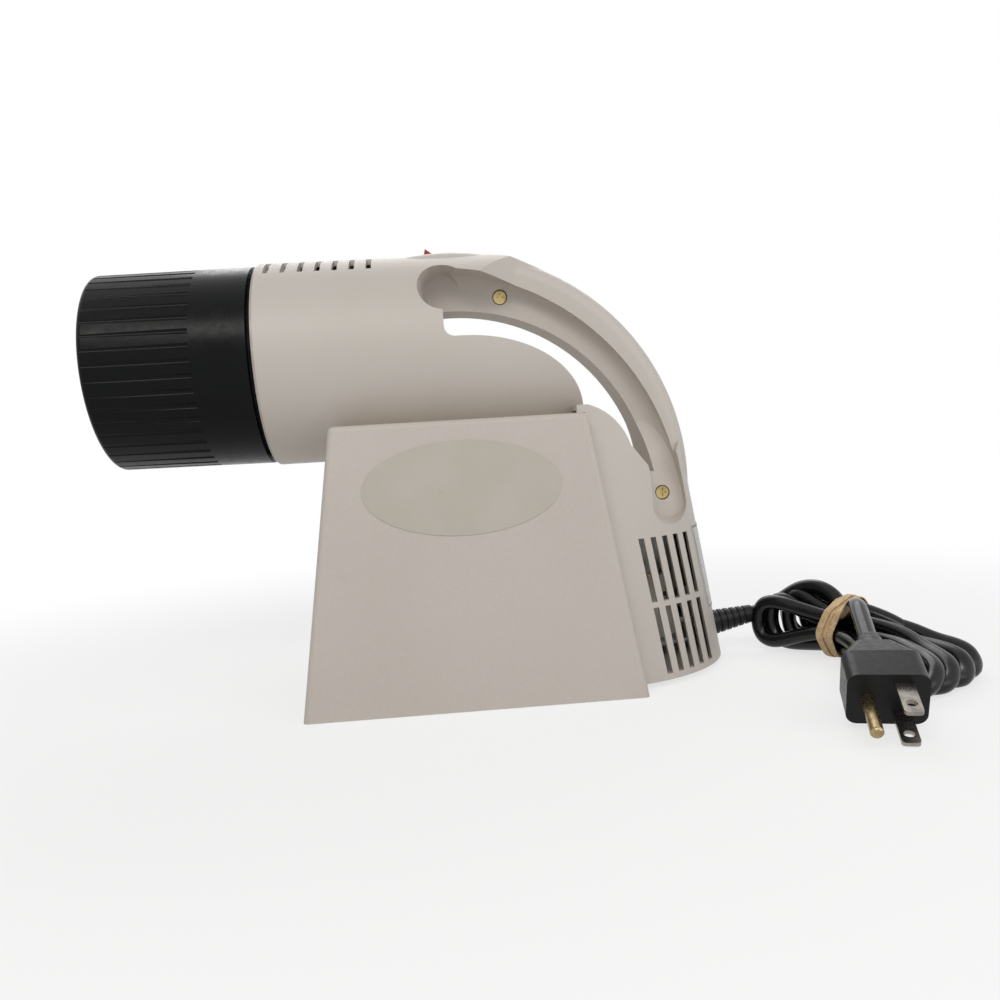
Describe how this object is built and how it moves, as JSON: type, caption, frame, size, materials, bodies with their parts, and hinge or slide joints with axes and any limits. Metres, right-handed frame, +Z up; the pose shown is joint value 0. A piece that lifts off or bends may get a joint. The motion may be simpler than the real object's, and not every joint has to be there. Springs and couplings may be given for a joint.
{
  "type": "opaque projector",
  "caption": "Handheld opaque art projector: copy hood, angled mirror housing, sliding lens barrel, arched handle, lamp housing and a tied mains cord.",
  "frame": {"origin": "on the table, under the middle of the projector without its cord", "axes": "+Z up, -X the way the lens looks, the two body halves meet on Y = 0"},
  "size_m": [0.3774, 0.2345, 0.2036],
  "materials": {
    "body_shell": "fine grained satin",
    "hood_panel": "coarse grained satin",
    "badge": "smooth, low relief",
    "frame_black": "matte",
    "copy_glass": "clear",
    "zinc": "zinc plated",
    "mirror": "front silvered",
    "lens_black": "semi-gloss",
    "tube_black": "matte",
    "lens_glass": "coated",
    "collar": "matte",
    "felt": "felt",
    "ceramic": "glazed ceramic",
    "brass": "plain",
    "bulb_glass": "frosted",
    "zinc_sheet": "galvanised",
    "reflector": "bright",
    "screw_brass": "yellow zinc",
    "switch_black": "satin",
    "rocker_red": "semi-gloss",
    "label": "film, blank",
    "boot_black": "satin",
    "cord_black": "semi-gloss",
    "band_tan": "plain",
    "plug_black": "semi-gloss",
    "blade_steel": "nickel plated",
    "pin_brass": "plain",
    "wire_dark": "insulation",
    "wire_white": "insulation",
    "wire_green": "insulation",
    "splice": "nylon"
  },
  "bodies": {
    "projector": {"shell_near": "body_shell", "shell_far": "body_shell", "copy_hood": "hood_panel", "badge_near": "badge", "badge_far": "badge", "copy_frame": "frame_black", "copy_glass": "copy_glass", "frame_screws": "zinc", "glass_clips": "zinc", "clip_pins": "zinc", "mirror": "mirror", "mirror_clips": "zinc", "mirror_screws": "zinc", "mouth_collar": "collar", "felt_strips": "felt", "lamp_socket": "ceramic", "socket_contact": "brass", "lamp_base": "brass", "lamp_bulb": "bulb_glass", "socket_bracket": "zinc_sheet", "bracket_screws": "zinc", "reflector": "reflector", "hood_screws": "zinc", "body_screws": "screw_brass", "switch_body": "switch_black", "switch_terminals": "brass", "rating_plate": "label", "strain_relief": "boot_black", "cord_lead": "cord_black", "cord_tail": "cord_black", "cord_hank": "cord_black", "cord_band": "band_tan", "plug_body": "plug_black", "plug_blades": "blade_steel", "plug_ground_pin": "pin_brass", "wire_live": "wire_dark", "wire_switched": "wire_dark", "wire_supply": "wire_dark", "wire_neutral": "wire_white", "wire_ground": "wire_green", "wire_splice": "splice", "ground_tag": "zinc", "ground_screw": "zinc"},
    "focus_barrel": {"lens_barrel": "lens_black", "focus_tube": "tube_black", "front_lens": "lens_glass", "lens_spacer": "tube_black", "rear_lens": "lens_glass", "lens_ring": "tube_black"},
    "rocker": {"switch_rocker": "rocker_red"}
  },
  "joints": [
    {"name": "focus_slide", "type": "slide", "parent": "projector", "child": "focus_barrel", "axis": [-1, 0, 0], "range_m": [0, 0.025]},
    {"name": "rocker_hinge", "type": "hinge", "parent": "projector", "child": "rocker", "pos_m": [0.01216, 0, 0.1962], "axis": [0, -1, 0], "range_deg": [0, 16]}
  ]
}
